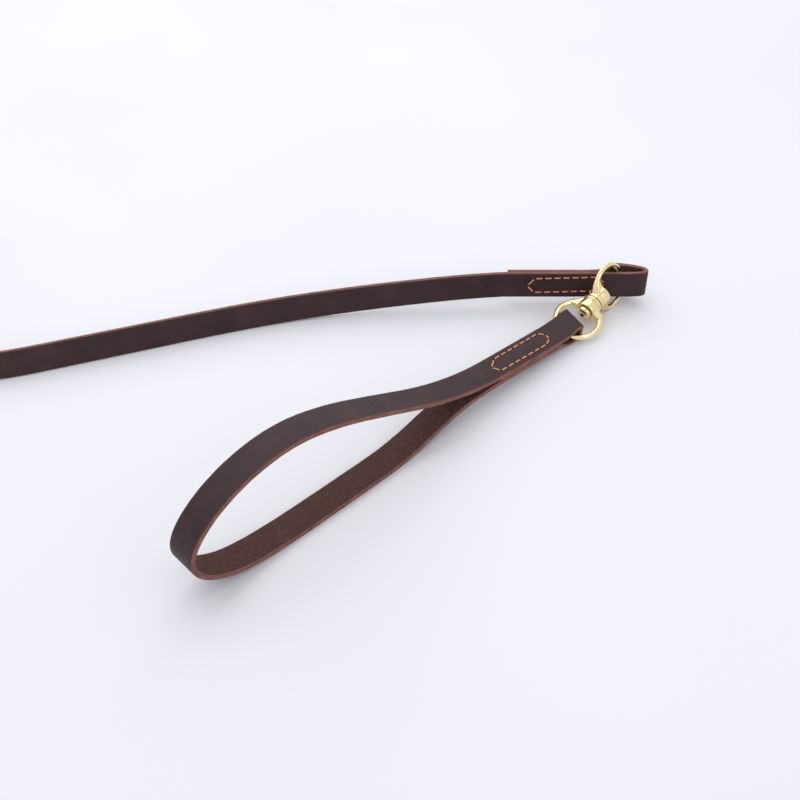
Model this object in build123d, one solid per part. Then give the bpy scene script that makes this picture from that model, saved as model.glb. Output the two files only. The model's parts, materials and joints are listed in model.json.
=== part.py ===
from build123d import *
import os
from math import atan2, cos, degrees, radians, sin, tan

# Leather training leash: a hand loop, a brass swivel, a flat lead and a bolt snap.
# Millimetres, +Z up, the table at z = 0.  The origin is under the middle of the
# hand loop, the swivel and the sewn near end of the lead.

# --- leather ---------------------------------------------------------------------
STRAP_WIDTH = 20.0
STRAP_THICK = 3.5
THREAD_WIDTH = 0.9
THREAD_STANDS = 0.5                # above the leather

# --- swivel ----------------------------------------------------------------------
SWIVEL_AT = Vector(115.14, 116.92, 13.6)   # the middle of the swivel
SWIVEL_HEADING = 48.5              # of its axis, degrees from +X towards +Y
SWIVEL_RISE = 12.2                 # of its axis, towards the lead
LEAD_EYE_ROLL = 72.0               # of each ring about the axis, from level
HANDLE_EYE_ROLL = 12.0
EYE_OFFSET = 20.6                  # from the middle of the swivel to a ring's centre
EYE_RADIUS = 16.1                  # of a ring's centre line
EYE_WIRE = 3.9
BOSS_RADIUS = 7.6
BOSS_END = 11.0
SHOULDER_INNER = (2.2, 6.6)        # corners of the web beside the boss: along, aside
SHOULDER_OUTER = (10.0, 13.4)
RIVET_RADIUS = 3.0
RIVET_CLEARANCE = 0.06
RIVET_HEAD_RADIUS = 5.2
RIVET_HEAD_THICK = 2.9
RIVET_DIMPLE = 1.8                 # radius of the ball that makes the dimple
WASHER_THICK = 0.8
SWIVEL_PLAY = 0.15                 # between faces that turn on each other

# --- hand loop -------------------------------------------------------------------
HANDLE_HEADING = 224.2             # away from the swivel
HANDLE_SIDE = 0.5                  # of the strap's middle, to the right of the swivel
FOLD_TILT = 6.0                    # the folded end leans down towards its right edge
HANDLE_SEAM = (61.0, 110.0)        # along the strap, from the swivel
HANDLE_STITCHES = 8
SEAM_HALF_WIDTH = 6.0
SEAM_TIP = 5.5                     # each pointed end, beyond the long rows

# --- lead ------------------------------------------------------------------------
LEAD_LOOP_FACE = 14.4              # the near face, beyond the middle of the swivel
LEAD_LOOP_HEIGHT = 8.3             # of the strap's lower edge at the swivel
LEAD_LOOP_LEAN = 6.0
LEAD_SEAM = (-44.0, 1.0)
LEAD_STITCHES = 7
SNAP_LOOP_HEIGHT = 6.0             # of the strap's lower edge at the snap hook
SNAP_SEAM = (12.0, 34.0)           # along the strap, from the end of the free strap
SNAP_STITCHES = 4

# --- snap hook -------------------------------------------------------------------
SNAP_EYE_RADIUS = 14.0
SNAP_EYE_WIRE = 3.5
SNAP_NECK = 4.0                    # between the eye's centre line and the barrel
SNAP_CROSSING = (56.0, 4.6)        # of its eye in the fold, from the end of the free strap
SNAP_DROP = 7.0                    # of the barrel's axis towards the hook, degrees
NECK_RADIUS = 3.6
NECK_LENGTH = 4.6                  # from inside the eye's wire to the collar
BARREL_RADIUS = 6.0
BARREL_LENGTH = 46.0
STEM_RADIUS = 2.5
STEM_HEAD_RADIUS = 3.4
STEM_HEAD_LENGTH = 3.4
STEM_PLAY = 0.2
CHAMBER_RADIUS = 4.0
CHAMBER_DEPTH = 7.0
COLLAR_THICK = 2.5
BARREL_WALL = 2.0                  # between the stem's chamber and the spring
BOLT_RADIUS = 3.0
BOLT_CLEARANCE = 0.06
BOLT_REAR = 30.0
HOOK_TIP = 58.0
BOLT_TRAVEL = 12.0
HOOK_WIRE = 5.0
HOOK_DEPTH = 16.0
HOOK_ROOT = (36.0, -3.0)           # the hook's start inside the barrel: along, aside
HOOK_HEEL = 42.0
HOOK_END = 66.0
HOOK_BENDS = (6.0, 8.0, 6.5)
STUD_AT = 33.0
STUD_RADIUS = 1.8
SPRING_WIRE = 0.7
SPRING_RADIUS = 2.3
SPRING_TURNS = 7

MIN_Z = (Align.CENTER, Align.CENTER, Align.MIN)
UP = Vector(0, 0, 1)


def unit(vector):
    return vector / vector.length


def heading(angle):
    """Level, at an angle in degrees from +X towards +Y."""
    return Vector(cos(radians(angle)), sin(radians(angle)), 0)


def place(x, y, z=0.0):
    """A point measured from under the swivel, in the part's own frame."""
    return Vector(SWIVEL_AT.X + x, SWIVEL_AT.Y + y, z)


def corner_radii(points, share=0.45):
    """The largest arcs that the runs beside each corner allow."""
    radii = []
    for a, b, c in zip(points, points[1:], points[2:]):
        before = Vector(*b) - Vector(*a)
        after = Vector(*c) - Vector(*b)
        turn = radians(before.get_angle(after))
        radii.append(share * min(before.length, after.length) / tan(turn / 2))
    return radii


def outline(corners):
    """A closed face from corners (x, y, radius); a radius of 0 stays sharp."""
    face = make_face(Polyline(*[(x, y) for x, y, _ in corners], close=True))
    for x, y, radius in corners:
        if radius > 0:
            corner = face.vertices().sort_by_distance((x, y, 0))[0]
            face = fillet(corner, radius)
    return face


# --- swivel ----------------------------------------------------------------------

def swivel_axis():
    rise = radians(SWIVEL_RISE)
    return heading(SWIVEL_HEADING) * cos(rise) + UP * sin(rise)


def eye_plane(roll, towards_lead):
    """A plane at the swivel's middle: X along the axis, Z square to the ring."""
    axis = swivel_axis()
    level = unit(UP - axis * axis.Z)
    normal = level * cos(radians(roll)) + axis.cross(level) * sin(radians(roll))
    return Plane(origin=SWIVEL_AT, x_dir=axis if towards_lead else -axis, z_dir=normal)


def ring_eye():
    """A cast ring with a bored boss, its axis along X from the swivel's middle."""
    start = WASHER_THICK / 2 + SWIVEL_PLAY
    ring = Pos(EYE_OFFSET, 0, 0) * Torus(EYE_RADIUS, EYE_WIRE / 2)
    boss = Plane.YZ.offset(start) * Cylinder(BOSS_RADIUS, BOSS_END - start, align=MIN_Z)
    boss = fillet(boss.edges().filter_by(GeomType.CIRCLE), 1.0)
    (near, narrow), (far, wide) = SHOULDER_INNER, SHOULDER_OUTER
    corners = [(near, narrow), (far, wide), (far, -wide), (near, -narrow)]
    shoulders = make_face(Polyline(*corners, close=True))
    web = extrude(shoulders, EYE_WIRE / 2 - 0.3, both=True)
    web -= Pos(EYE_OFFSET, 0, 0) * Cylinder(EYE_RADIUS - EYE_WIRE / 2 + 0.4, 2 * EYE_WIRE)
    bore = Plane.YZ * Cylinder(RIVET_RADIUS + RIVET_CLEARANCE, 4 * BOSS_END)
    return ring + web + boss - bore


def swivel_rivet():
    """The shank and its two domed, dimpled heads, along X."""
    inner = BOSS_END + SWIVEL_PLAY
    rivet = Plane.YZ * Cylinder(RIVET_RADIUS, 2 * inner)
    for side in (1, -1):
        face = Plane(origin=(side * inner, 0, 0), z_dir=(side, 0, 0))
        head = Cylinder(RIVET_HEAD_RADIUS, RIVET_HEAD_THICK, align=MIN_Z)
        head = fillet(head.edges().filter_by(GeomType.CIRCLE).sort_by(Axis.Z)[-1], 1.6)
        head -= Pos(0, 0, RIVET_HEAD_THICK + RIVET_DIMPLE / 2) * Sphere(RIVET_DIMPLE)
        rivet += face * head
    return rivet


def swivel_washer():
    disc = Cylinder(BOSS_RADIUS + 0.4, WASHER_THICK) - Cylinder(RIVET_RADIUS, WASHER_THICK)
    return Plane.YZ * disc


# --- hand loop -------------------------------------------------------------------
# Corners of the route of the leather's middle: distance from the swivel, height.

HAND_LOOP = [(48, 6.7), (150, 14.6), (206, 1.75), (334, 1.75), (366, 17.0), (374, 37.0),
             (358, 57.5), (328, 72.0), (294, 76.0), (258, 67.0), (218, 49.5), (178, 31.0),
             (136, 18.7), (48, 11.4)]
FOLD_OUTSIDE = [(51, 13.4, 0), (38, 13.2, 12), (27, 15.2, 5), (20.5, 13.8, 4), (20.5, 4.5, 3),
                (27, 1.2, 5), (38, 1.1, 6), (47, 4.6, 5), (51, 5.2, 0)]
FOLD_CAVITY = [(46, 9.0, 0), (38, 9.8, 12), (28, 11.7, 3), (24, 10.8, 1.5), (24, 5.6, 1.5),
               (27.5, 3.2, 2), (36.5, 3.2, 4)]
HANDLE_CORE = [(48.5, 6.8, 0), (120, 12.4, 0), (120, 17.2, 0), (48.5, 11.4, 0)]


def handle_plane(tilt=0.0):
    """X runs away from the swivel and Y up; Z points to the strap's left edge."""
    right = heading(HANDLE_HEADING + 90)
    side = right * cos(radians(tilt)) - UP * sin(radians(tilt))
    return Plane(origin=place(0, 0) + right * HANDLE_SIDE, x_dir=heading(HANDLE_HEADING), z_dir=-side)


def hand_loop_route():
    return FilletPolyline(*HAND_LOOP, radius=corner_radii(HAND_LOOP))


def handle_strap():
    """The loop, the core of its sewn stack and the folded end round the eye."""
    route = hand_loop_route()
    section = Plane(origin=route @ 0, x_dir=(0, 0, 1), z_dir=route % 0)
    loop = sweep(section * Rectangle(STRAP_WIDTH, STRAP_THICK), path=route)
    loop += extrude(outline(HANDLE_CORE), STRAP_WIDTH / 2, both=True)
    fold = extrude(outline(FOLD_OUTSIDE) - outline(FOLD_CAVITY), STRAP_WIDTH / 2, both=True)
    return handle_plane() * loop + handle_plane(FOLD_TILT) * fold


def seam(length, half_width, tip, stitches):
    """Stitches on the XY plane round a long outline with a pointed end each way."""
    half = length / 2
    corners = [(-half, half_width), (half, half_width), (half + tip, 0),
               (half, -half_width), (-half, -half_width), (-half - tip, 0)]
    counts = [stitches, 1, 1, stitches, 1, 1]
    threads = []
    for start, end, count in zip(corners, corners[1:] + corners[:1], counts):
        run = Vector(*end) - Vector(*start)
        pitch = run.length / count
        angle = degrees(atan2(run.Y, run.X))
        for i in range(count):
            middle = Vector(*start) + run * ((i + 0.5) / count)
            thread = Box(0.78 * pitch, THREAD_WIDTH, THREAD_STANDS, align=MIN_Z)
            threads.append(Pos(middle.X, middle.Y, 0) * Rot(0, 0, angle) * thread)
    return threads


def handle_stitching():
    """The seam on the sewn stack, above and below."""
    start, end = HANDLE_SEAM
    rows = seam(end - start, SEAM_HALF_WIDTH, SEAM_TIP, HANDLE_STITCHES)
    top_start, top_end = Vector(*HAND_LOOP[-1]), Vector(*HAND_LOOP[-2])
    low_start, low_end = Vector(*HAND_LOOP[0]), Vector(*HAND_LOOP[1])
    faces = []
    for begin, finish, out in ((top_start, top_end, 1), (low_start, low_end, -1)):
        along = unit(finish - begin)
        normal = Vector(-along.Y, along.X) * out
        middle = begin + along * ((start + end) / 2 - begin.X) + normal * (STRAP_THICK / 2)
        faces.append(Plane(origin=middle, x_dir=along, z_dir=normal))
    return Compound(children=[handle_plane() * face * thread for face in faces for thread in rows])


# --- the lead's two sewn ends ------------------------------------------------------
# Plans of the two folds.  The strap runs along X with one face on it; the tail lies
# beyond.  Corners are x, y and the radius of the corner.

LEAD_FOLD_OUTSIDE = [(-66, 0, 0), (44, 0, 5), (44, 11.6, 5), (38, 15.0, 6), (28, 17.2, 8),
                     (17.5, 17.9, 5), (9.5, 7, 4), (-63, 7, 0), (-63, 3.5, 0), (-66, 3.5, 0)]
LEAD_FOLD_CAVITY = [(11.5, 3.5, 0), (40.5, 3.5, 2), (40.5, 9.4, 2), (36.4, 11.7, 4), (27.5, 13.7, 6),
                    (18.8, 14.3, 3)]
SNAP_FOLD_OUTSIDE = [(0, 0, 0), (70, 0, 4), (70, 7.5, 4), (65, 13.2, 4), (50, 12.4, 6),
                     (42, 7, 6), (3, 7, 0), (3, 3.5, 0), (0, 3.5, 0)]
SNAP_FOLD_CAVITY = [(45, 3.5, 0), (66.5, 3.5, 2), (66.5, 7.2, 2), (62.5, 9.7, 2.5), (50, 9.0, 4)]


def sewn_end(outside, cavity):
    """A strap end folded back on itself: its plan raised by the strap's width."""
    return extrude(outline(outside) - outline(cavity), STRAP_WIDTH)


def lead_loop_plane():
    """X along the lead towards the fold, Z up the strap's width, at its near lower edge."""
    width = UP * cos(radians(LEAD_LOOP_LEAN)) + Vector(0, 1, 0) * sin(radians(LEAD_LOOP_LEAN))
    return Plane(origin=place(0, LEAD_LOOP_FACE, LEAD_LOOP_HEIGHT), x_dir=(1, 0, 0), z_dir=width)


def lead_swivel_loop():
    return lead_loop_plane() * sewn_end(LEAD_FOLD_OUTSIDE, LEAD_FOLD_CAVITY)


def face_seams(plane, seam_ends, stitches, side):
    """The seam on a sewn end's own face and its match on the tail behind."""
    start, end = seam_ends
    rows = seam(end - start, SEAM_HALF_WIDTH, SEAM_TIP, stitches)
    faces = []
    for depth, out in ((0, -side), (2 * STRAP_THICK * side, side)):
        middle = ((start + end) / 2, depth, STRAP_WIDTH / 2)
        faces.append(plane * Plane(origin=middle, x_dir=(1, 0, 0), z_dir=(0, out, 0)))
    return Compound(children=[face * thread for face in faces for thread in rows])


def lead_swivel_stitching():
    return face_seams(lead_loop_plane(), LEAD_SEAM, LEAD_STITCHES, 1)


# --- the free strap ------------------------------------------------------------------
# Corners of the route of the leather's middle in plan, from under the swivel, with the
# height of the strap's lower edge above the table at each.

LEAD_ROUTE = [(-66.2, 17.2, 8.3), (-87.0, 16.6, 7.9), (-116.0, 14.4, 7.0), (-166.0, 9.6, 4.0),
              (-220.0, 0.2, 1.0), (-272.0, -14.9, 0.0), (-362.0, -47.3, 0.0), (-446.0, -76.5, 0.0),
              (-492.5, -65.0, 1.5), (-521.5, -29.0, 5.0), (-521.5, 18.0, 6.0)]


def lead_strap():
    """The strap on its edge: a tall band along the route, cut to its rise and fall."""
    plan = [(x, y) for x, y, _ in LEAD_ROUTE]
    radii = corner_radii(plan)
    print("lead arcs, radii:", [round(r) for r in radii])
    route = FilletPolyline(*plan, radius=radii)
    start = Plane(origin=route @ 0, x_dir=(0, 0, 1), z_dir=route % 0)
    band = sweep(start * Rectangle(4 * STRAP_WIDTH, STRAP_THICK), path=route)
    before = (LEAD_ROUTE[0][0] + STRAP_WIDTH, LEAD_ROUTE[0][2])
    beyond = (LEAD_ROUTE[-1][0] - STRAP_WIDTH, LEAD_ROUTE[-1][2])
    lower = [before, *[(x, z) for x, _, z in LEAD_ROUTE[:-1]], beyond]
    upper = [(x, z + STRAP_WIDTH) for x, z in reversed(lower)]
    side = make_face(Polyline(*lower, *upper, close=True))
    strap = band & extrude(Plane.XZ * side, route.length, both=True)
    expected = STRAP_WIDTH * STRAP_THICK * route.length
    print("lead: volume", round(strap.volume), "section x length", round(expected))
    print("lead: length of the free strap", round(route.length, 1))
    return Pos(*place(0, 0)) * strap


# --- snap hook -----------------------------------------------------------------------
# Its own frame: X along the barrel from its rear face to the hook, the hook below in -Y.

def snap_loop_plane():
    """X along the last of the lead towards the snap hook, Z up."""
    end = LEAD_ROUTE[-1]
    corner = place(end[0] - STRAP_THICK / 2, end[1], end[2])
    return Plane(origin=corner, x_dir=(0, 1, 0), z_dir=(0, 0, 1))


def lead_snap_loop():
    """The fold lies on the other side of the strap from the swivel's."""
    return snap_loop_plane() * mirror(sewn_end(SNAP_FOLD_OUTSIDE, SNAP_FOLD_CAVITY), about=Plane.XZ)


def lead_snap_stitching():
    return face_seams(snap_loop_plane(), SNAP_SEAM, SNAP_STITCHES, -1)


def snap_plane():
    """At the barrel's rear face, X along the barrel, Y the side away from the hook."""
    drop = radians(SNAP_DROP)
    axis = Vector(0, cos(drop), -sin(drop))
    along, aside = SNAP_CROSSING
    middle = SNAP_LOOP_HEIGHT + STRAP_WIDTH / 2 + SNAP_EYE_RADIUS * sin(drop)
    crossing = place(LEAD_ROUTE[-1][0] + aside, LEAD_ROUTE[-1][1] + along, middle)
    rear = crossing + axis * (2 * SNAP_EYE_RADIUS + SNAP_NECK)
    down = Vector(0, -sin(drop), -cos(drop))
    return Plane(origin=rear, x_dir=axis, z_dir=down)


def snap_eye():
    """A round eye on a stem, upright; the stem's head turns in the barrel's chamber."""
    centre = -(SNAP_NECK + SNAP_EYE_RADIUS)
    ring = Pos(centre, 0, 0) * Rot(90, 0, 0) * Torus(SNAP_EYE_RADIUS, SNAP_EYE_WIRE / 2)
    start = Plane.YZ.offset(-NECK_LENGTH)
    neck = start * Cone(NECK_RADIUS, STEM_HEAD_RADIUS, NECK_LENGTH - 2 * STEM_PLAY, align=MIN_Z)
    stem = start * Cylinder(STEM_RADIUS, NECK_LENGTH + COLLAR_THICK + 1.0, align=MIN_Z)
    head = Cylinder(STEM_HEAD_RADIUS, STEM_HEAD_LENGTH, align=MIN_Z)
    head = Plane.YZ.offset(COLLAR_THICK + STEM_PLAY) * head
    return ring + neck + stem + head


def snap_collar():
    disc = Cylinder(CHAMBER_RADIUS, COLLAR_THICK, align=MIN_Z)
    return Plane.YZ * (disc - Cylinder(STEM_RADIUS + BOLT_CLEARANCE, 3 * COLLAR_THICK))


def snap_body():
    """The barrel with its chamber, bore and thumb slot, and the hook cast with it."""
    barrel = Plane.YZ * Cylinder(BARREL_RADIUS, BARREL_LENGTH, align=MIN_Z)
    barrel = fillet(barrel.edges().filter_by(GeomType.CIRCLE), 0.8)
    low = -HOOK_DEPTH
    points = [HOOK_ROOT, (HOOK_HEEL, low), (HOOK_END, low), (HOOK_END, 0), (HOOK_TIP, 0)]
    line = FilletPolyline(*points, radius=HOOK_BENDS)
    hook = sweep(Plane(origin=line @ 0, z_dir=line % 0) * Circle(HOOK_WIRE / 2), path=line)
    body = barrel + hook
    body -= Plane.YZ * Cylinder(CHAMBER_RADIUS, 2 * CHAMBER_DEPTH)
    bore_start = CHAMBER_DEPTH + BARREL_WALL
    bore = Cylinder(BOLT_RADIUS + BOLT_CLEARANCE, HOOK_TIP - bore_start, align=MIN_Z)
    body -= Plane.YZ.offset(bore_start) * bore
    slot_start = STUD_AT - BOLT_TRAVEL
    slot = SlotOverall(BOLT_TRAVEL + 2 * STUD_RADIUS + 0.8, 2 * STUD_RADIUS + 0.5)
    across = Plane(origin=((slot_start + STUD_AT) / 2, 0, 0), x_dir=(1, 0, 0), z_dir=(0, 1, 0))
    return body - across * extrude(slot, 2 * BARREL_RADIUS)


def snap_bolt():
    rod = Cylinder(BOLT_RADIUS, HOOK_TIP - 0.3 - BOLT_REAR, align=MIN_Z)
    rod = chamfer(rod.edges().filter_by(GeomType.CIRCLE), 0.4)
    rod = Plane.YZ.offset(BOLT_REAR) * rod
    socket = Plane(origin=(STUD_AT, 0.5, 0), z_dir=(0, 1, 0)) * Cylinder(STUD_RADIUS, 6, align=MIN_Z)
    return rod - socket


def snap_thumb_stud():
    shank = Cylinder(STUD_RADIUS, BARREL_RADIUS + 1.5, align=MIN_Z)
    knob = Pos(0, 0, BARREL_RADIUS + 0.3) * Cylinder(3.4, 2.6, align=MIN_Z)
    knob = fillet(knob.edges().filter_by(GeomType.CIRCLE), 0.9)
    return Plane(origin=(STUD_AT, 0.5, 0), z_dir=(0, 1, 0)) * (shank + knob)


def snap_spring():
    """An open coil between the barrel's wall and the bolt."""
    start = CHAMBER_DEPTH + BARREL_WALL + SPRING_WIRE / 2 + 0.1
    height = BOLT_REAR - SPRING_WIRE / 2 - 0.1 - start
    coil = Helix(pitch=height / SPRING_TURNS, height=height, radius=SPRING_RADIUS)
    section = Plane(origin=coil @ 0, z_dir=coil % 0) * Circle(SPRING_WIRE / 2)
    wire = sweep(section, path=coil, is_frenet=True)
    return Plane.YZ.offset(start) * wire


# --- assembly ------------------------------------------------------------------------

def build():
    handle_side = eye_plane(HANDLE_EYE_ROLL, towards_lead=False)
    lead_side = eye_plane(LEAD_EYE_ROLL, towards_lead=True)
    snap = snap_plane()
    return {
        "handle_strap": handle_strap(),
        "handle_stitching": handle_stitching(),
        "handle_eye": handle_side * ring_eye(),
        "lead_eye": lead_side * ring_eye(),
        "swivel_rivet": lead_side * swivel_rivet(),
        "swivel_washer": lead_side * swivel_washer(),
        "lead_swivel_loop": lead_swivel_loop(),
        "lead_swivel_stitching": lead_swivel_stitching(),
        "lead_strap": lead_strap(),
        "lead_snap_loop": lead_snap_loop(),
        "lead_snap_stitching": lead_snap_stitching(),
        "snap_eye": snap * snap_eye(),
        "snap_collar": snap * snap_collar(),
        "snap_body": snap * snap_body(),
        "snap_bolt": snap * snap_bolt(),
        "snap_thumb_stud": snap * snap_thumb_stud(),
        "snap_spring": snap * snap_spring(),
    }


def main():
    os.makedirs("parts", exist_ok=True)
    for name, shape in build().items():
        export_step(shape, f"parts/{name}.step")


main()
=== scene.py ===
import json
from math import copysign, cos, pi, radians, sin

import bpy
from mathutils import Matrix, Vector, noise


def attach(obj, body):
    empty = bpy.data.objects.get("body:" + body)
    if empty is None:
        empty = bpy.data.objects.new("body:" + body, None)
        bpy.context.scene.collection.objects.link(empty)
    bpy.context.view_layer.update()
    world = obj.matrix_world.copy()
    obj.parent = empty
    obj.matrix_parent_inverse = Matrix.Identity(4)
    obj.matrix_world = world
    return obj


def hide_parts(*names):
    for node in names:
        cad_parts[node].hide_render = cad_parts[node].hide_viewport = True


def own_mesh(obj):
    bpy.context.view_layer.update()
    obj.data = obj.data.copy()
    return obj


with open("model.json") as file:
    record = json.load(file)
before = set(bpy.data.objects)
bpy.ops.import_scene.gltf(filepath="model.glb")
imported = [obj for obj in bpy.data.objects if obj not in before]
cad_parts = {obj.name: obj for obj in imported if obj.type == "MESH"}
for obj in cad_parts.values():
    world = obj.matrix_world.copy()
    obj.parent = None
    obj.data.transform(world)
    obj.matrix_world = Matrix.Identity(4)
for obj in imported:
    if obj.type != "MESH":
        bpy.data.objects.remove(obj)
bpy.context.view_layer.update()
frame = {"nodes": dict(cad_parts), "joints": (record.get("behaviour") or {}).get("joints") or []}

# A leather training leash on a pale table: a hand loop, a brass swivel of two ring eyes,
# a flat lead on its long edge and a bolt snap.  Metres, +Z up, in the CAD model's frame.

MM = 0.001
UP = Vector((0, 0, 1))
LEFT = Vector((-1, 0, 0))
NEARER = Vector((0, -1, 0))        # towards the viewer
JOINTS = {joint["name"]: joint for joint in frame["joints"]}
SWIVEL = Vector(JOINTS["swivel_lead_side"]["pos_m"])
SWIVEL_AXIS = Vector(JOINTS["swivel_lead_side"]["axis"]).normalized()

# --- leather, in metres -----------------------------------------------------------------
STRAP_WIDTH = 20 * MM
HALF_WIDTH = STRAP_WIDTH / MM / 2  # millimetres, for the routes below
STRAP_THICK = 3.5 * MM
PARED_THICK = 1.5 * MM
SEWN_STACK = 7.05                  # millimetres, two straps and the glue between them
THREAD_RADIUS = 0.5 * MM

# --- swivel -----------------------------------------------------------------------------
HANDLE_EYE_ROLL = 12.0
LEAD_EYE_ROLL = 72.0
EYE_OFFSET = 20.6 * MM
EYE_RADIUS = 16.1 * MM
EYE_WIRE = 1.95 * MM               # radius

# --- hand loop --------------------------------------------------------------------------
HANDLE_HEADING = 224.2             # degrees, away from the swivel
HANDLE_SIDE = 0.5 * MM
FOLD_TILT = 6.0                    # degrees, down towards the near edge

# --- lead -------------------------------------------------------------------------------
LEAD_LOOP_FACE = 14.4 * MM
LEAD_LOOP_HEIGHT = 8.4 * MM
LEAD_LOOP_LEAN = 6.0
SNAP_LOOP_HEIGHT = 6.0 * MM


def place(x, y, z=0.0):
    """A point measured in millimetres from under the swivel."""
    return Vector((SWIVEL.x + x * MM, SWIVEL.y + y * MM, z * MM))


def heading(degrees):
    return Vector((cos(radians(degrees)), sin(radians(degrees)), 0))


HANDLE_OUT = heading(HANDLE_HEADING)      # from the swivel towards the hand
HANDLE_RIGHT = heading(HANDLE_HEADING + 90)


def mix(a, b, t):
    return a + (b - a) * min(1.0, max(0.0, t))


def ease(start, end, value):
    """0 before start, 1 after end, smooth between."""
    t = min(1.0, max(0.0, (value - start) / (end - start)))
    return t * t * (3 - 2 * t)


# --- camera -----------------------------------------------------------------------------

CAMERA_PLACE = (-145.3, -607.4, 462.1)   # millimetres from under the swivel
CAMERA_PITCH = 48.0                # degrees up from straight down
CAMERA_LENS = 45
CAMERA_SENSOR = 36


def make_camera():
    data = bpy.data.cameras.new("camera")
    data.lens = CAMERA_LENS
    data.sensor_width = CAMERA_SENSOR
    camera = bpy.data.objects.new("camera", data)
    camera.location = place(*CAMERA_PLACE)
    camera.rotation_euler = (radians(CAMERA_PITCH), 0, 0)
    bpy.context.scene.collection.objects.link(camera)
    bpy.context.scene.camera = camera


make_camera()
bpy.context.scene.view_settings.view_transform = "Standard"


# --- materials --------------------------------------------------------------------------

class Nodes:
    """A short way to write a node material; space is the object's own coordinates, in metres."""

    def __init__(self, name):
        self.material = bpy.data.materials.new(name)
        self.material.use_nodes = True
        self.tree = self.material.node_tree
        self.shader = self.tree.nodes["Principled BSDF"]
        self.coordinates = self.tree.nodes.new("ShaderNodeTexCoord")
        self.space = self.coordinates.outputs["Object"]

    def link(self, source, target):
        self.tree.links.new(source, target)

    def scaled(self, scale, output="Object"):
        """Coordinates scaled along each axis."""
        mapping = self.tree.nodes.new("ShaderNodeMapping")
        mapping.inputs["Scale"].default_value = scale
        self.link(self.coordinates.outputs[output], mapping.inputs["Vector"])
        return mapping.outputs["Vector"]

    def noise(self, vector, scale, detail=4.0, roughness=0.55):
        node = self.tree.nodes.new("ShaderNodeTexNoise")
        node.inputs["Scale"].default_value = scale
        node.inputs["Detail"].default_value = detail
        node.inputs["Roughness"].default_value = roughness
        self.link(vector, node.inputs["Vector"])
        return node.outputs["Fac"]

    def cells(self, vector, scale, feature="F1"):
        node = self.tree.nodes.new("ShaderNodeTexVoronoi")
        node.feature = feature
        node.inputs["Scale"].default_value = scale
        self.link(vector, node.inputs["Vector"])
        return node.outputs["Distance"]

    def ramp(self, value, stops):
        node = self.tree.nodes.new("ShaderNodeValToRGB")
        elements = node.color_ramp.elements
        while len(elements) < len(stops):
            elements.new(0.5)
        for element, (position, colour) in zip(elements, stops):
            element.position = position
            element.color = (*colour, 1.0) if len(colour) == 3 else colour
        self.link(value, node.inputs["Fac"])
        return node.outputs["Color"]

    def span(self, value, low, high, from_low=0.3, from_high=0.7):
        node = self.tree.nodes.new("ShaderNodeMapRange")
        node.inputs["From Min"].default_value = from_low
        node.inputs["From Max"].default_value = from_high
        node.inputs["To Min"].default_value = low
        node.inputs["To Max"].default_value = high
        self.link(value, node.inputs["Value"])
        return node.outputs["Result"]

    def blend(self, factor, a, b, kind="MIX"):
        node = self.tree.nodes.new("ShaderNodeMix")
        node.data_type = "RGBA"
        node.blend_type = kind
        if isinstance(factor, float):
            node.inputs["Factor"].default_value = factor
        else:
            self.link(factor, node.inputs["Factor"])
        for socket, colour in ((node.inputs["A"], a), (node.inputs["B"], b)):
            self.colour(socket, colour)
        return node.outputs["Result"]

    def colour(self, socket, value):
        if isinstance(value, tuple):
            socket.default_value = (*value, 1.0)
        else:
            self.link(value, socket)

    def bump(self, height, distance, strength, under=None):
        node = self.tree.nodes.new("ShaderNodeBump")
        node.inputs["Distance"].default_value = distance
        node.inputs["Strength"].default_value = strength
        self.link(height, node.inputs["Height"])
        if under is not None:
            self.link(under, node.inputs["Normal"])
        return node.outputs["Normal"]

    def from_middle(self):
        """0 on a strap's middle line and 1 at its cut edges."""
        split = self.tree.nodes.new("ShaderNodeSeparateXYZ")
        self.link(self.coordinates.outputs["UV"], split.inputs["Vector"])
        size = self.tree.nodes.new("ShaderNodeMath")
        size.operation = "ABSOLUTE"
        self.link(split.outputs["Y"], size.inputs[0])
        return size.outputs["Value"]

    def finish(self, **values):
        for name, value in values.items():
            socket = self.shader.inputs[name.replace("_", " ")]
            if isinstance(value, bpy.types.NodeSocket):
                self.link(value, socket)
            else:
                socket.default_value = (*value, 1.0) if isinstance(value, tuple) else value
        return self.material


def leather_grain():
    """The finished face: dark oiled brown, small pebbles, faint pull-up and scuffs."""
    n = Nodes("leather_grain")
    cloud = n.noise(n.space, 45, 5)
    mottle = n.noise(n.space, 420, 6, 0.65)
    wrinkle = n.noise(n.space, 190, 7, 0.7)
    pebble = n.cells(n.space, 1300)
    body = n.ramp(cloud, [(0.25, (0.018, 0.0065, 0.008)), (0.55, (0.032, 0.012, 0.014)),
                          (0.8, (0.052, 0.021, 0.022))])
    colour = n.blend(n.span(mottle, 0.0, 0.5, 0.45, 0.8), body, (0.070, 0.028, 0.027))
    worn = n.span(n.from_middle(), 0.0, 0.75, 0.86, 1.0)
    colour = n.blend(worn, colour, (0.082, 0.030, 0.023))
    normal = n.bump(pebble, 0.00022, 0.35)
    normal = n.bump(wrinkle, 0.0005, 0.35, normal)
    return n.finish(Base_Color=colour, Roughness=n.span(mottle, 0.42, 0.64),
                    Specular_IOR_Level=0.33, Normal=normal)


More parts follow.
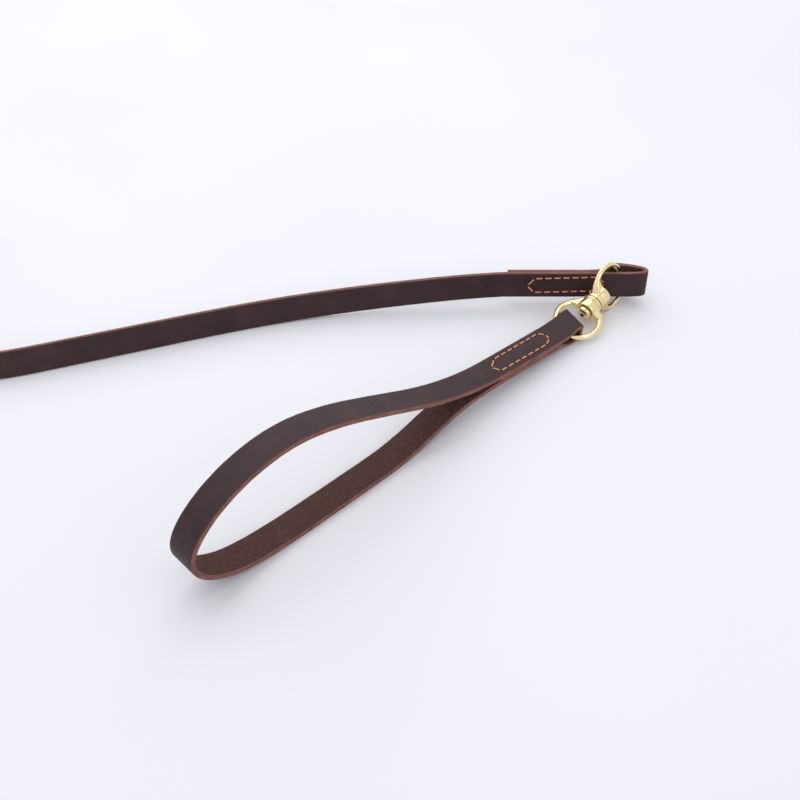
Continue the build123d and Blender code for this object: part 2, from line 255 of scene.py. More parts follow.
def leather_flesh():
    """The inner face: brown, matt, short fibres with a faint pressed texture."""
    n = Nodes("leather_flesh")
    fibre = n.noise(n.scaled((1.0, 1.0, 1.6)), 860, 6, 0.75)
    patch = n.noise(n.space, 120, 5, 0.6)
    pit = n.cells(n.space, 700)
    colour = n.ramp(fibre, [(0.34, (0.036, 0.016, 0.014)), (0.5, (0.078, 0.035, 0.029)),
                            (0.68, (0.170, 0.084, 0.066))])
    colour = n.blend(n.span(patch, 0.0, 0.45), colour, (0.064, 0.028, 0.025))
    normal = n.bump(pit, 0.0005, 0.5)
    normal = n.bump(fibre, 0.0006, 0.6, normal)
    return n.finish(Base_Color=colour, Roughness=n.span(fibre, 0.72, 0.95),
                    Specular_IOR_Level=0.25, Normal=normal)


def leather_edge():
    """The cut edge: reddish brown, rubbed smooth, with the hide's layers along it."""
    n = Nodes("leather_edge")
    streak = n.noise(n.scaled((90, 2600, 1), "UV"), 1.0, 6, 0.7)
    patch = n.noise(n.space, 130, 4)
    colour = n.ramp(streak, [(0.3, (0.085, 0.026, 0.018)), (0.5, (0.230, 0.082, 0.056)),
                             (0.72, (0.430, 0.190, 0.132))])
    colour = n.blend(n.span(patch, 0.0, 0.75), colour, (0.110, 0.036, 0.026))
    normal = n.bump(streak, 0.0004, 0.45)
    return n.finish(Base_Color=colour, Roughness=n.span(streak, 0.42, 0.68),
                    Specular_IOR_Level=0.4, Normal=normal)


def waxed_thread():
    n = Nodes("waxed_thread")
    strand = n.noise(n.space, 2600, 4, 0.6)
    colour = n.ramp(strand, [(0.3, (0.57, 0.165, 0.066)), (0.55, (0.85, 0.325, 0.146)),
                             (0.8, (0.93, 0.470, 0.255))])
    return n.finish(Base_Color=colour, Roughness=n.span(strand, 0.42, 0.62),
                    Normal=n.bump(strand, 0.0002, 0.5))


# Painted shade: a near-black matt colour for the flat ovals that stand in for the shaded recesses of the
# stitch holes.
def painted_hole_shade():
    n = Nodes("painted_hole_shade")
    shade = n.noise(n.space, 1500, 3)
    colour = n.ramp(shade, [(0.3, (0.008, 0.004, 0.004)), (0.7, (0.030, 0.012, 0.009))])
    return n.finish(Base_Color=colour, Roughness=n.span(shade, 0.8, 0.95),
                    Normal=n.bump(shade, 0.0002, 0.4))


def polished_brass():
    """Cast and polished: pale gold with a faint tarnish and fine polishing marks."""
    n = Nodes("polished_brass")
    tarnish = n.noise(n.space, 160, 5, 0.6)
    mark = n.noise(n.space, 2600, 5, 0.7)
    colour = n.ramp(tarnish, [(0.3, (0.84, 0.66, 0.33)), (0.55, (0.93, 0.78, 0.45)),
                              (0.8, (0.97, 0.86, 0.55))])
    normal = n.bump(mark, 0.00006, 0.35)
    normal = n.bump(tarnish, 0.0004, 0.12, normal)
    return n.finish(Base_Color=colour, Metallic=1.0, Roughness=n.span(mark, 0.11, 0.24),
                    Normal=normal)


def spring_steel():
    n = Nodes("spring_steel")
    mark = n.noise(n.space, 1800, 4)
    colour = n.ramp(mark, [(0.3, (0.40, 0.40, 0.41)), (0.7, (0.62, 0.62, 0.63))])
    return n.finish(Base_Color=colour, Metallic=1.0, Roughness=n.span(mark, 0.25, 0.42),
                    Normal=n.bump(mark, 0.0001, 0.3))


def table_top():
    n = Nodes("table_top")
    cloud = n.noise(n.space, 3.0, 2)
    colour = n.ramp(cloud, [(0.3, (0.79, 0.79, 0.83)), (0.7, (0.82, 0.82, 0.85))])
    return n.finish(Base_Color=colour, Roughness=0.6, Specular_IOR_Level=0.25)


GRAIN = leather_grain()
FLESH = leather_flesh()
EDGE = leather_edge()
THREAD = waxed_thread()
HOLE_SHADE = painted_hole_shade()
BRASS = polished_brass()
STEEL = spring_steel()


# --- mesh helpers -----------------------------------------------------------------------

def add_mesh(name, vertices, faces, materials, indices=None, uvs=None, flat=False):
    mesh = bpy.data.meshes.new(name)
    mesh.from_pydata([tuple(v) for v in vertices], [], faces)
    for material in materials:
        mesh.materials.append(material)
    if indices:
        mesh.polygons.foreach_set("material_index", indices)
    if uvs:
        layer = mesh.uv_layers.new(name="strap")
        for loop, uv in zip(layer.data, uvs):
            loop.uv = uv
    mesh.polygons.foreach_set("use_smooth", [not flat] * len(faces))
    mesh.update()
    piece = bpy.data.objects.new(name, mesh)
    bpy.context.scene.collection.objects.link(piece)
    return piece


def smooth_line(points, resolution):
    """Points along the NURBS curve that has these control points."""
    data = bpy.data.curves.new("line", "CURVE")
    data.dimensions = "3D"
    spline = data.splines.new("NURBS")
    spline.points.add(len(points) - 1)
    for target, point in zip(spline.points, points):
        target.co = (*point, 1.0)
    spline.order_u = 3
    spline.use_endpoint_u = True
    spline.resolution_u = resolution
    holder = bpy.data.objects.new("line", data)
    mesh = bpy.data.meshes.new_from_object(holder)
    line = [vertex.co.copy() for vertex in mesh.vertices]
    bpy.data.objects.remove(holder)
    bpy.data.meshes.remove(mesh)
    return line


def running_length(line):
    total = [0.0]
    for a, b in zip(line, line[1:]):
        total.append(total[-1] + (b - a).length)
    return total


def directions(line):
    ends = [line[0]] + line[:-2] + [line[-2]]
    nexts = [line[1]] + line[2:] + [line[-1]]
    return [(b - a).normalized() for a, b in zip(ends, nexts)]


# --- straps -----------------------------------------------------------------------------
# A strap is a list of stations.  A station's grain side faces along its normal.

class Station:
    def __init__(self, point, along, across, thick, run):
        self.point = point
        self.along = along
        self.across = (across - along * across.dot(along)).normalized()
        self.normal = self.along.cross(self.across)
        self.thick = thick
        self.run = run

    def at(self, side, height):
        return self.point + self.across * side + self.normal * height

    def flip(self):
        """Turns the strap over here, so that its grain side faces the other way."""
        self.across = -self.across
        self.normal = -self.normal


GRAIN_SIDE, CUT_EDGE, FLESH_SIDE = range(3)
STRAP_FINISHES = [GRAIN, EDGE, FLESH]
GRAIN_STEPS = 12
EDGE_ROUND = 0.55 * MM
EDGE_BULGE = 0.04 * MM
RIPPLE = 0.06 * MM                 # unevenness of the faces
NICK = 0.10 * MM                   # unevenness of the cut edges


def strap_section(half_width, half_thick):
    """Points round the section with the finish of the face that follows each one."""
    r = min(EDGE_ROUND, half_thick * 0.6)
    flat = half_width - r
    corner = [(sin(a) * r, cos(a) * r) for a in (pi / 8, pi / 4, 3 * pi / 8)]
    right = [(flat + x, half_thick - r + y) for x, y in corner]
    side = [(half_width, half_thick - r), (half_width + EDGE_BULGE, 0.0), (half_width, r - half_thick)]
    under = [(x, -y) for x, y in reversed(right)]
    top = [(mix(-flat, flat, i / GRAIN_STEPS), half_thick) for i in range(GRAIN_STEPS + 1)]
    bottom = [(-x, -y) for x, y in top]
    left = [(-x, -y) for x, y in right + side + under]
    points = top + right + side + under + bottom + left
    finishes = ([GRAIN_SIDE] * (GRAIN_STEPS + 3) + [CUT_EDGE] * 6 + [FLESH_SIDE] * (GRAIN_STEPS + 2)
                + [CUT_EDGE] * 7 + [GRAIN_SIDE] * 2)
    return points, finishes


def across_strap(point, finish):
    """UV v: share of the half width on the faces, metres through the hide on the edges."""
    side, height = point
    return height if finish == CUT_EDGE else side / (STRAP_WIDTH / 2)


def uneven(station, side, height):
    """A point of the strap's surface, moved a little as hide is never quite flat."""
    at = station.at(side, height)
    wave = noise.noise(at * 90.0) * 0.5 + noise.noise(at * 320.0) * 0.35
    lift = RIPPLE * wave if height > 0 else -RIPPLE * wave
    on_edge = abs(side) > STRAP_WIDTH * 0.48
    nick = copysign(NICK, side) * noise.noise(at * 260.0) if on_edge else 0.0
    return at + station.normal * lift + station.across * nick


def make_strap(name, stations, capped_start=True):
    """A strap of leather with grain, cut edges and a flesh side along the stations."""
    rings = []
    vertices = []
    for station in stations:
        points, finishes = strap_section(STRAP_WIDTH / 2, station.thick / 2)
        rings.append(range(len(vertices), len(vertices) + len(points)))
        vertices += [uneven(station, side, height) for side, height in points]
    faces = []
    indices = []
    uvs = []
    for a, b, first, second in zip(rings, rings[1:], stations, stations[1:]):
        for k, finish in enumerate(finishes):
            m = (k + 1) % len(finishes)
            faces.append((a[k], a[m], b[m], b[k]))
            indices.append(finish)
            near = across_strap(points[k], finish)
            far = across_strap(points[m], finish)
            uvs += [(first.run, near), (first.run, far), (second.run, far), (second.run, near)]
    ends = [(rings[-1], stations[-1])]
    if capped_start:
        ends.insert(0, (rings[0][::-1], stations[0]))
    for ring, end in ends:
        faces.append(tuple(ring))
        indices.append(CUT_EDGE)
        uvs += [(vertices[v].dot(end.across), vertices[v].dot(end.normal)) for v in ring]
    piece = add_mesh(name, vertices, faces, STRAP_FINISHES, indices, uvs)
    return piece


def stations_along(line, across_at, thick_at):
    """Stations on a line; across_at takes a point of it, and thick_at a length along it."""
    return [Station(point, along, across_at(point), thick_at(run), run)
            for point, along, run in zip(line, directions(line), running_length(line))]


def full_thickness(run):
    return STRAP_THICK


# --- the lead's free strap ---------------------------------------------------------------
# Control points of its middle, millimetres: x and y from under the swivel, and the height
# of the strap's lower edge.

LEAD_ROUTE = [(-66.2, 17.2, 8.2), (-87.0, 16.3, 7.4), (-116.0, 13.6, 6.2), (-166.0, 8.4, 3.2),
              (-220.0, -0.8, 0.7), (-272.0, -15.4, 0.0), (-362.0, -47.3, 0.0), (-446.0, -76.5, 0.0),
              (-492.5, -65.0, 1.5), (-521.5, -29.0, 5.0), (-521.5, 18.0, 6.0)]
LEAN_MOST = 16.0
LEAN_FROM = -66.0
LEAN_TO = -440.0
UPRIGHT_AT = -505.0
LEAD_SMOOTHNESS = 48
TURN_DEPTH = 20 * MM               # past this, behind its start, the strap runs away from the viewer


def lean_at(x):
    """Degrees that the strap's upper edge leans back, at x millimetres from the swivel."""
    back = mix(LEAD_LOOP_LEAN, LEAN_MOST, (x - LEAN_FROM) / (LEAN_TO - LEAN_FROM))
    return back * (1 - ease(-LEAN_TO, -UPRIGHT_AT, -x))


def upper_edge_at(point):
    lean = radians(lean_at((point.x - SWIVEL.x) / MM))
    return UP * cos(lean) + Vector((0, sin(lean), 0))


def make_lead():
    line = smooth_line([place(x, y, z + HALF_WIDTH) for x, y, z in LEAD_ROUTE], LEAD_SMOOTHNESS)
    stations = stations_along(line, upper_edge_at, full_thickness)
    for station in stations:
        outward = NEARER if station.point.y < line[0].y + TURN_DEPTH else LEFT
        if station.normal.dot(outward) < 0:
            station.flip()
    lead = make_strap("lead", stations, capped_start=False)
    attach(lead, "lead")
    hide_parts("lead_strap")
    return lead, line, stations


lead, lead_path, lead_stations = make_lead()


# --- stitches ---------------------------------------------------------------------------

STITCH_SINK = 0.75                 # of the thread's radius, below the face at each end
STITCH_RISE = 1.25                 # of the thread's radius, from the ends to the middle
STITCH_FLATNESS = 0.8
TWIST = 1.3                        # turns of the two strands in one stitch
STRAND_SWELL = 0.13
HOLE_ALONG = 0.95 * MM             # radii of the painted shade oval at each hole
HOLE_ACROSS = 0.75 * MM
SEAM_HALF_WIDTH = 5.9              # millimetres
HOLE_SHARE = 0.13                  # of the way from hole to hole, clear at each end


def stitch(vertices, faces, start, end, normal):
    """One twisted stitch that comes up at start and goes down at end."""
    run = end - start
    side = run.normalized().cross(normal)
    steps = 14
    around = 10
    base = len(vertices)
    for i in range(steps + 1):
        t = i / steps
        bow = min(1.0, 4.2 * min(t, 1 - t)) ** 0.6
        centre = start + run * t + normal * THREAD_RADIUS * (STITCH_RISE * bow - STITCH_SINK)
        for k in range(around):
            angle = 2 * pi * k / around
            radius = THREAD_RADIUS * (1.0 + STRAND_SWELL * cos(2 * (angle - 2 * pi * TWIST * t)))
            vertices.append(centre + side * (cos(angle) * radius)
                            + normal * (sin(angle) * radius * STITCH_FLATNESS))
    for i in range(steps):
        for k in range(around):
            m = (k + 1) % around
            a = base + i * around
            faces.append((a + k, a + around + k, a + around + m, a + m))
    faces.append(tuple(base + k for k in range(around)))
    faces.append(tuple(base + steps * around + k for k in reversed(range(around))))


def hole(vertices, faces, centre, along, normal):
    """A small flat oval painted dark: painted shade for the awl hole under a stitch's end."""
    side = along.cross(normal)
    base = len(vertices)
    around = 14
    vertices.append(centre + normal * 0.02 * MM)
    for k in range(around):
        angle = 2 * pi * k / around
        vertices.append(centre + along * (cos(angle) * HOLE_ALONG) + side * (sin(angle) * HOLE_ACROSS)
                        + normal * 0.05 * MM)
    for k in range(around):
        faces.append((base, base + 1 + k, base + 1 + (k + 1) % around))


def along_row(start, start_side, end, end_side, stitches):
    """The holes (along, side) of one straight row."""
    return [(mix(start, end, i / stitches), mix(start_side, end_side, i / stitches))
            for i in range(stitches + 1)]


def hexagon(start, end, tip, stitches):
    """The holes of two rows that meet in a point at each end."""
    return (along_row(start, SEAM_HALF_WIDTH, end, SEAM_HALF_WIDTH, stitches) + [(end + tip, 0.0)]
            + along_row(end, -SEAM_HALF_WIDTH, start, -SEAM_HALF_WIDTH, stitches) + [(start - tip, 0.0)])


def make_seam(name, on_face, outline, body, replaced=None):
    """Stitches on a face, with a flat dark oval of painted shade at each hole; on_face gives a point and
    the normal there.
    """
    threads, thread_faces = [], []
    holes, hole_shade_faces = [], []
    for a, b in zip(outline, outline[1:] + outline[:1]):
        start, normal = on_face(*a)
        end, other = on_face(*b)
        run = end - start
        up = ((normal + other) / 2).normalized()
        stitch(threads, thread_faces, start + run * HOLE_SHARE, end - run * HOLE_SHARE, up)
        hole(holes, hole_shade_faces, start, run.normalized(), normal)
    thread = add_mesh(name, threads, thread_faces, [THREAD])
    # The holes are flat near-black ovals: painted shade for the recesses that the thread goes into.
    hole_shade = add_mesh(name + "_hole_shade", holes, hole_shade_faces, [HOLE_SHADE])
    for piece, finish in ((thread, "thread"), (hole_shade, "leather")):
        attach(piece, body)
    if replaced:
        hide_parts(replaced)


# --- hand loop --------------------------------------------------------------------------
# Its middle, millimetres: distance from the swivel, height, and bow towards the near side.
# It starts at the lower leg's cut end, goes round the hand's end, comes back on top,
# folds round the eye and ends pared between the two legs.

LOWER_LEG = [(52, 7.0, 0), (96, 10.5, 0.1), (128, 13.0, 0.5), (160, 12.4, 1.3), (206, 1.9, 2.6),
             (240, 1.8, 3.2), (333, 1.8, 2.5)]
HAND_END = [(364.5, 17.0, 2.2), (372.8, 37.0, 2.0), (356.5, 57.5, 1.8), (327, 71.9, 1.6),
            (293, 75.7, 1.6), (257.5, 66.7, 1.6)]
UPPER_LEG = [(217.5, 49.2, 1.6), (177.5, 30.8, 1.1), (136, 18.6, 0.4), (96, 15.5, 0.1), (60, 12.45, 0),
             (44, 11.3, 0)]
EYE_FOLD = [(34, 12.2, 0), (26.5, 13.6, 0), (22.0, 13.0, 0), (22.2, 9.0, 0), (22.2, 4.0, 0),
            (26.0, 2.5, 0), (36.0, 2.3, 0), (44.0, 4.6, 0)]
PARED_TAIL = [(52, 9.7, 0), (62, 10.5, 0), (96, 13.1, 0.2), (117, 14.9, 0.4)]
HANDLE_SMOOTHNESS = 26
CREASE_SKEW = 5.0 * MM             # the fold's near edge lies further from the swivel
CREASE_FROM = 46.0
CREASE_TO = 26.0
FOLD_AT = (22, 0, 9)               # distance, bow and height where the leather folds round the eye
PARING = 24 * MM                   # length over which it thins to the pared tail
UPPER_SEAM_MARGIN = 20 * MM


def tilt_at(distance):
    """Radians that the strap tilts down towards its near edge, in the stretch by the swivel."""
    return radians(FOLD_TILT * (1 - ease(50, 180, distance)))


def handle_point(distance, side, height):
    tilt = tilt_at(distance)
    edge = HANDLE_RIGHT * cos(tilt) - UP * sin(tilt)
    lean = UP * cos(tilt) + HANDLE_RIGHT * sin(tilt)
    middle = Vector((SWIVEL.x, SWIVEL.y, 0)) + HANDLE_RIGHT * HANDLE_SIDE
    return middle + HANDLE_OUT * (distance * MM) + edge * side + lean * (height * MM)


def handle_distance(point):
    """Millimetres from the swivel along the hand loop."""
    return (point - handle_point(0, 0.0, 0.0)).dot(HANDLE_OUT) / MM


def handle_stations():
    """Stations of the whole loop, and the running length where it folds round the eye."""
    route = LOWER_LEG + HAND_END + UPPER_LEG + EYE_FOLD + PARED_TAIL
    line = smooth_line([handle_point(s, bow * MM, z) for s, z, bow in route], HANDLE_SMOOTHNESS)
    fold = handle_point(*FOLD_AT)
    fold_run = min(zip(line, running_length(line)), key=lambda pair: (pair[0] - fold).length)[1]

    def across(point):
        tilt = tilt_at(handle_distance(point))
        return HANDLE_RIGHT * cos(tilt) - UP * sin(tilt)

    def thick(run):
        return mix(STRAP_THICK, PARED_THICK, ease(fold_run, fold_run + PARING, run))

    stations = stations_along(line, across, thick)
    for station in stations:
        station.flip()
    return stations, fold_run


def handle_face(stations):
    """A function from (distance from the swivel, side) to a point on the loop's outside."""
    places = [(handle_distance(station.point), station) for station in stations]

    def on_face(distance, side):
        for (da, a), (db, b) in zip(places, places[1:]):
            if min(da, db) <= distance <= max(da, db):
                t = (distance - da) / (db - da)
                sign = 1 if a.across.dot(HANDLE_RIGHT) > 0 else -1
                start = a.at(side * MM * sign, a.thick / 2)
                end = b.at(side * MM * sign, b.thick / 2)
                return start.lerp(end, t), a.normal
        raise ValueError(f"no leather at {distance}")
    return on_face


def skew_crease(piece):
    """Draws the near edge of the fold back along the strap."""
    origin = handle_point(0, 0.0, 0.0)
    for vertex in piece.data.vertices:
        share = 1 - ease(CREASE_TO, CREASE_FROM, handle_distance(vertex.co))
        nearness = 0.5 + (vertex.co - origin).dot(HANDLE_RIGHT) / STRAP_WIDTH
        vertex.co += HANDLE_OUT * (CREASE_SKEW * share * nearness)


# The seam's holes on the hand loop: distance from the swivel and side, millimetres.
HANDLE_SEAM = (along_row(108.1, -5.7, 61.1, -6.1, 7) + [(56.8, -1.9), (58.0, 2.9)]
               + along_row(64.4, 5.8, 113.2, 6.0, 7) + [(116.4, -0.4)])


def make_handle():
    stations, fold_run = handle_stations()
    handle = make_strap("hand_loop", stations)
    skew_crease(handle)
    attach(handle, "handle")
    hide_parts("handle_strap")
    half = len(stations) // 2
    upper = [station for station in stations[half:] if station.run < fold_run - UPPER_SEAM_MARGIN]
    make_seam("handle_stitches", handle_face(upper), HANDLE_SEAM, "handle", "handle_stitching")
    make_seam("handle_stitches_under", handle_face(stations[:half]), HANDLE_SEAM, "handle")


make_handle()


# --- the lead's sewn ends ---------------------------------------------------------------
# Middle of the leather in plan, millimetres: along the strap, and away from its own face.

LEAD_FOLD = [(-66.2, 1.75), (-40, 1.75), (0, 1.75), (22, 1.75), (33, 1.8), (41.7, 3.2), (41.4, 9.4),
             (36, 12.1), (27, 15.2), (18, 16.8), (12, 8.0), (5, 5.2), (-20, 5.3), (-40, 5.3),
             (-63.5, 5.3)]
SNAP_FOLD = [(0, 1.75), (20, 1.75), (44, 1.75), (60, 1.75), (67.6, 1.6), (68.6, 5.2), (67.0, 10.2),
             (60, 11.6), (51, 11.0), (44, 6.6), (38, 5.2), (24, 5.3), (3.5, 5.3)]
SEWN_END_SMOOTHNESS = 20
SEAM_RISE = 0.028                  # the near seam climbs a little towards the fold
SEAM_LEVEL = -44.0


def make_sewn_end(name, points, across, outward, joined_to):
    """A folded end of the lead whose first section is the free strap's own end section."""
    line = smooth_line(points, SEWN_END_SMOOTHNESS)
    stations = stations_along(line, lambda point: across, full_thickness)
    if stations[0].normal.dot(outward) < 0:
        for station in stations:
            station.flip()
    sign = copysign(1, joined_to.across.dot(stations[0].across))
    stations[0].point = joined_to.point
    stations[0].normal = joined_to.normal
    stations[0].across = joined_to.across * sign
    piece = make_strap(name, stations, capped_start=False)
    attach(piece, "lead")
    return piece


def lead_point(along, away, height):
    lean = radians(LEAD_LOOP_LEAN)
    width = UP * cos(lean) + Vector((0, 1, 0)) * sin(lean)
    depth = Vector((0, 1, 0)) * cos(lean) - UP * sin(lean)
    corner = Vector((SWIVEL.x, SWIVEL.y + LEAD_LOOP_FACE, LEAD_LOOP_HEIGHT))
    return corner + Vector((1, 0, 0)) * along * MM + depth * away * MM + width * height * MM


def snap_point(along, away, height):
    end_x, end_y, _ = LEAD_ROUTE[-1]
    corner = place(end_x - STRAP_THICK / MM / 2, end_y)
    return corner + Vector((away * MM, along * MM, SNAP_LOOP_HEIGHT + height * MM))


def make_lead_fold():
    width = (lead_point(0, 0, 1) - lead_point(0, 0, 0)).normalized()
    near = (lead_point(0, -1, 0) - lead_point(0, 0, 0)).normalized()
    points = [lead_point(x, y, HALF_WIDTH) for x, y in LEAD_FOLD]
    piece = make_sewn_end("lead_swivel_end", points, width, near, lead_stations[0])
    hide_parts("lead_swivel_loop")

    def near_face(along, side):
        return lead_point(along, 0, HALF_WIDTH + side + SEAM_RISE * (along - SEAM_LEVEL)), near

    def far_face(along, side):
        return lead_point(along, SEWN_STACK, HALF_WIDTH + side), -near

    make_seam("lead_stitches", near_face, hexagon(-43.2, 4.4, 5.6, 7), "lead", "lead_swivel_stitching")
    make_seam("lead_stitches_behind", far_face, hexagon(-43.2, 1.0, 4.6, 7), "lead")


def make_snap_fold():
    points = [snap_point(x, y, HALF_WIDTH) for x, y in SNAP_FOLD]
    piece = make_sewn_end("lead_snap_end", points, UP, LEFT, lead_stations[-1])
    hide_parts("lead_snap_loop")

    def outer(along, side):
        return snap_point(along, 0, HALF_WIDTH + side), LEFT

    def inner(along, side):
        return snap_point(along, SEWN_STACK, HALF_WIDTH + side), -LEFT

    make_seam("snap_stitches", outer, hexagon(12.0, 34.0, 5.5, 4), "lead", "lead_snap_stitching")
    make_seam("snap_stitches_inside", inner, hexagon(12.0, 32.0, 4.0, 4), "lead")
    return piece


make_lead_fold()
snap_end = make_snap_fold()


# --- swivel -----------------------------------------------------------------------------

def eye_matrix(roll, direction):
    """Local X along the swivel's axis from its middle, local Z square to the ring."""
    level = (UP - SWIVEL_AXIS * SWIVEL_AXIS.z).normalized()
    normal = level * cos(radians(roll)) + SWIVEL_AXIS.cross(level) * sin(radians(roll))
    along = SWIVEL_AXIS * direction
    across = normal.cross(along)
    return Matrix((along, across, normal)).transposed().to_4x4(), SWIVEL


def lathe(profile, around=64):
    """Vertices and faces of a profile (x, radius) turned about X."""
    vertices, faces = [], []
    for x, radius in profile:
        for k in range(around):
            angle = 2 * pi * k / around
            vertices.append(Vector((x, cos(angle) * radius, sin(angle) * radius)))
    for i in range(len(profile) - 1):
        for k in range(around):
            m = (k + 1) % around
            a, b = i * around, (i + 1) * around
            faces.append((a + k, a + m, b + m, b + k))
    faces.append(tuple(reversed(range(around))))
    last = (len(profile) - 1) * around
    faces.append(tuple(last + k for k in range(around)))
    return vertices, faces


def ring_wire():
    """The ring: a ridged wire that swells into the two shoulders beside the boss."""
    steps, around = 144, 32
    vertices, faces = [], []
    for i in range(steps):
        turn = 2 * pi * i / steps
        out = Vector((cos(turn), sin(turn), 0))
        swell = ease(SHOULDER_END, SHOULDER_START, abs(turn - pi)) * SHOULDER_SWELL
        for k in range(around):
            angle = 2 * pi * k / around
            ridge = 0.07 * abs(cos(angle)) ** 10 - 0.05 * abs(sin(2 * angle)) ** 3
            radius = EYE_WIRE * (1.0 + swell + ridge)
            vertices.append(Vector((EYE_OFFSET, 0, 0)) + out * (EYE_RADIUS + cos(angle) * radius)
                            + Vector((0, 0, sin(angle) * radius)))
    for i in range(steps):
        j = (i + 1) % steps
        for k in range(around):
            m = (k + 1) % around
            faces.append((i * around + k, j * around + k, j * around + m, i * around + m))
    return vertices, faces


def shoulder(side):
    """The web that carries one side of the ring into the boss."""
    thick_in, thick_out = 4.4 * MM, 1.7 * MM
    corners = [(3.4, 3.0, thick_in), (3.6, 6.4, thick_in), (9.2, 13.2, thick_out),
               (12.0, 14.4, thick_out), (11.2, 8.4, thick_in * 0.75), (10.4, 3.0, thick_in * 0.8)]
    vertices = []
    for z_sign in (-1, 1):
        vertices += [Vector((x * MM, side * y * MM, z_sign * z)) for x, y, z in corners]
    count = len(corners)
    faces = [tuple(reversed(range(count))), tuple(range(count, 2 * count))]
    for k in range(count):
        m = (k + 1) % count
        faces.append((k, m, m + count, k + count))
    return vertices, faces


def joined(parts):
    vertices, faces = [], []
    for part_vertices, part_faces in parts:
        base = len(vertices)
        vertices += part_vertices
        faces += [tuple(base + i for i in face) for face in part_faces]
    return vertices, faces


def apply_modifiers(piece):
    graph = bpy.context.evaluated_depsgraph_get()
    mesh = bpy.data.meshes.new_from_object(piece.evaluated_get(graph))
    piece.modifiers.clear()
    piece.data = mesh
    for polygon in mesh.polygons:
        polygon.use_smooth = True


def cast(piece):
    """Melts a piece's overlapping shapes into one soft casting."""
    remesh = piece.modifiers.new("remesh", "REMESH")
    remesh.mode = "VOXEL"
    remesh.voxel_size = CAST_VOXEL
    smooth = piece.modifiers.new("smooth", "SMOOTH")
    smooth.factor = 0.5
    smooth.iterations = CAST_SMOOTHING
    thin = piece.modifiers.new("thin", "DECIMATE")
    thin.ratio = CAST_KEEP
    apply_modifiers(piece)


# Axial place and radius, millimetres: a flange, a groove, a bell and the cup for the rivet's head.
BOSS_PROFILE = [(0.56, 4.0), (0.56, 7.2), (0.9, 7.7), (2.1, 7.7), (2.5, 7.2), (2.8, 6.5), (3.3, 6.5),
                (3.7, 7.2), (4.6, 7.7), (7.0, 8.0), (9.6, 8.2), (10.9, 8.0), (11.5, 7.4), (11.4, 6.7),
                (10.4, 6.3), (10.2, 5.0), (10.2, 1.0)]
RIVET_PROFILE = [(0.0, 5.0), (0.25, 5.5), (1.4, 5.6), (2.3, 5.3), (3.1, 4.6), (3.6, 3.7), (3.8, 2.7),
                 (3.6, 2.1), (2.9, 1.5), (2.5, 0.8), (2.4, 0.05)]
RIVET_RADIUS = 3.0 * MM
HANDLE_RIVET_START = 10.9          # millimetres along the axis, under each head
LEAD_RIVET_START = 10.3
CAST_VOXEL = 0.24 * MM
CAST_SMOOTHING = 7
CAST_KEEP = 0.35                   # share of the triangles
SHOULDER_START = radians(26)       # round the ring from the boss
SHOULDER_END = radians(57)
SHOULDER_SWELL = 0.65


def make_eye(name, node, roll, direction, body):
    boss = lathe([(x * MM, r * MM) for x, r in BOSS_PROFILE])
    vertices, faces = joined([ring_wire(), boss, shoulder(1), shoulder(-1)])
    turn, origin = eye_matrix(roll, direction)
    piece = add_mesh(name, vertices, faces, [BRASS])
    cast(piece)
    piece.data.transform(Matrix.Translation(origin) @ turn)
    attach(piece, body)
    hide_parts(node)


def make_rivet():
    """The rivet's shank and its two dimpled heads."""
    parts = [lathe([(x * MM, RIVET_RADIUS) for x in (-HANDLE_RIVET_START, LEAD_RIVET_START)])]
    for direction, start in ((1, LEAD_RIVET_START), (-1, HANDLE_RIVET_START)):
        vertices, faces = lathe([((start + x) * MM, r * MM) for x, r in RIVET_PROFILE])
        if direction < 0:
            vertices = [Vector((-v.x, v.y, v.z)) for v in vertices]
            faces = [tuple(reversed(face)) for face in faces]
        parts.append((vertices, faces))
    turn, origin = eye_matrix(LEAD_EYE_ROLL, 1)
    vertices, faces = joined(parts)
    rivet = add_mesh("rivet", vertices, faces, [BRASS])
    rivet.data.transform(Matrix.Translation(origin) @ turn)
    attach(rivet, "rivet")
    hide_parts("swivel_rivet")


make_eye("handle_ring_eye", "handle_eye", HANDLE_EYE_ROLL, -1, "handle_ring")
make_eye("lead_ring_eye", "lead_eye", LEAD_EYE_ROLL, 1, "lead_ring")
make_rivet()


# --- snap hook and the CAD pieces that stay ------------------------------------------------

def finish_cad(name, material):
    node = frame["nodes"][name]
    node.data.materials.clear()
    node.data.materials.append(material)


SNAP_PIECES = ["snap_eye", "snap_collar", "snap_body", "snap_bolt", "snap_thumb_stud"]
for cad_name in SNAP_PIECES + ["swivel_washer"]:
    finish_cad(cad_name, BRASS)

SPRING_START = 9.45 * MM           # from the barrel's rear face
SPRING_END = 29.55 * MM
SPRING_COIL = 2.3 * MM
SPRING_WIRE = 0.35 * MM
SPRING_TURNS = 7


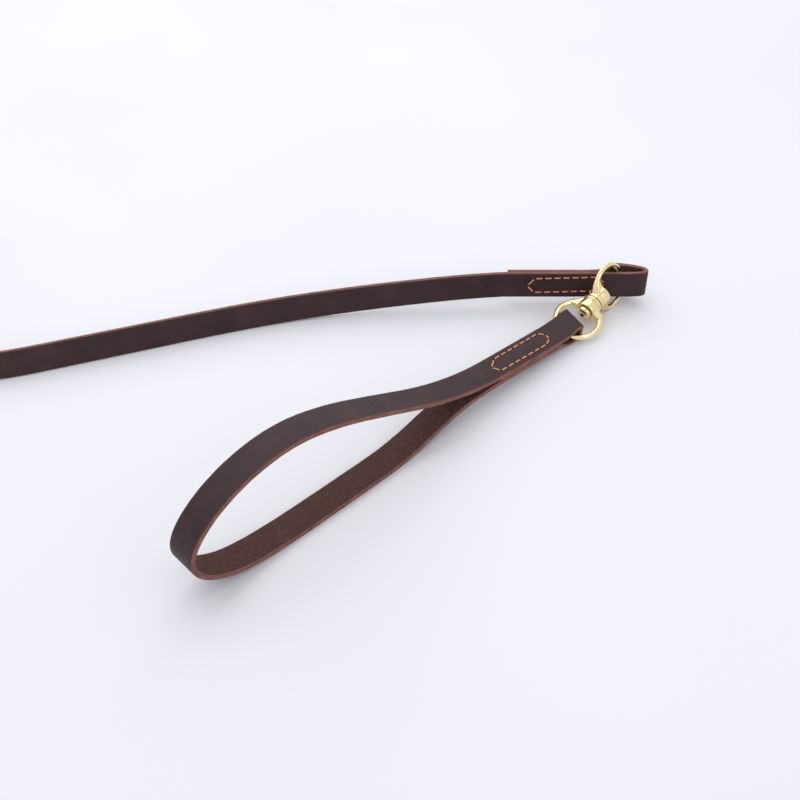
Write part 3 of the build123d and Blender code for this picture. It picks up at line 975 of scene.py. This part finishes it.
def make_spring():
    """An open coil of wire along the hook's axis, behind the barrel's rear face."""
    rear = Vector(JOINTS["hook_swivel"]["pos_m"])
    axis = Vector(JOINTS["hook_swivel"]["axis"]).normalized()
    side = axis.cross(UP).normalized()
    top = side.cross(axis)
    steps, around = 24 * SPRING_TURNS, 10
    vertices, faces = [], []
    for i in range(steps + 1):
        turn = 2 * pi * SPRING_TURNS * i / steps
        out = side * cos(turn) + top * sin(turn)
        centre = rear + axis * mix(SPRING_START, SPRING_END, i / steps)
        for k in range(around):
            angle = 2 * pi * k / around
            vertices.append(centre + out * (SPRING_COIL + SPRING_WIRE * cos(angle))
                            + axis * (SPRING_WIRE * sin(angle)))
    for i in range(steps):
        for k in range(around):
            m = (k + 1) % around
            a = i * around
            faces.append((a + k, a + m, a + around + m, a + around + k))
    faces.append(tuple(reversed(range(around))))
    faces.append(tuple(steps * around + k for k in range(around)))
    spring = add_mesh("hook_spring", vertices, faces, [STEEL])
    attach(spring, "hook")
    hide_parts("snap_spring")
    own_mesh(spring)
    return spring


spring = make_spring()


# --- table and light ----------------------------------------------------------------------

TABLE_REACH = 20.0


def make_table():
    corners = [(x * TABLE_REACH, y * TABLE_REACH, 0) for x, y in ((-1, -1), (1, -1), (1, 1), (-1, 1))]
    table = add_mesh("table", corners, [(0, 1, 2, 3)], [table_top()], flat=True)


def area_light(name, location, target, size, watts):
    data = bpy.data.lights.new(name, "AREA")
    data.shape = "RECTANGLE"
    data.size, data.size_y = size
    data.energy = watts
    light = bpy.data.objects.new(name, data)
    light.location = location
    light.rotation_euler = (Vector(target) - Vector(location)).to_track_quat("-Z", "Y").to_euler()
    bpy.context.scene.collection.objects.link(light)


def make_world(colour, strength):
    world = bpy.data.worlds.new("studio")
    world.use_nodes = True
    background = world.node_tree.nodes["Background"]
    background.inputs["Color"].default_value = (*colour, 1)
    background.inputs["Strength"].default_value = strength
    bpy.context.scene.world = world


make_table()
make_world(colour=(0.95, 0.96, 1.0), strength=0.86)
area_light("key", location=(-0.35, 0.65, 1.1), target=(-0.15, 0.15, 0), size=(2.2, 1.6), watts=9)
area_light("fill", location=(0.9, -0.7, 0.9), target=(0, 0, 0), size=(0.8, 0.8), watts=1.5)
